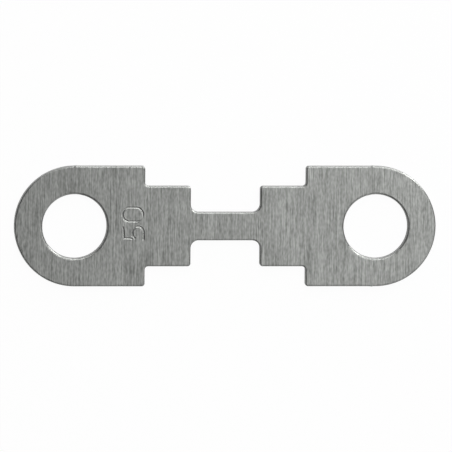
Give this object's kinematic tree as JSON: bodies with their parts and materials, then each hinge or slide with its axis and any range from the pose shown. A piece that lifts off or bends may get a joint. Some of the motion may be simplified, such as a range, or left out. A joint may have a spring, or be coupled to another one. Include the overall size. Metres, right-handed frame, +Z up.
{
  "type": "bolt-down strip fuse",
  "caption": "Flat blanked metal strip fuse with a bolt hole in each rounded end tab, stepping in to a narrow central link that melts when it is overloaded.",
  "frame": {"origin": "middle of the underside, halfway between the two bolt holes", "axes": "+X along the strip from one bolt hole to the other, +Y across the strip, +Z up through its thickness, from the flat underside to the face with the rolled edges and the stamped number"},
  "size_m": [0.042, 0.012, 0.0008],
  "materials": {
    "fuse_metal": "rolled zinc-alloy sheet with a fine brushed grain across the strip and bright sheared edges"
  },
  "bodies": {
    "root": {"fuse_strip": "fuse_metal"}
  },
  "joints": []
}
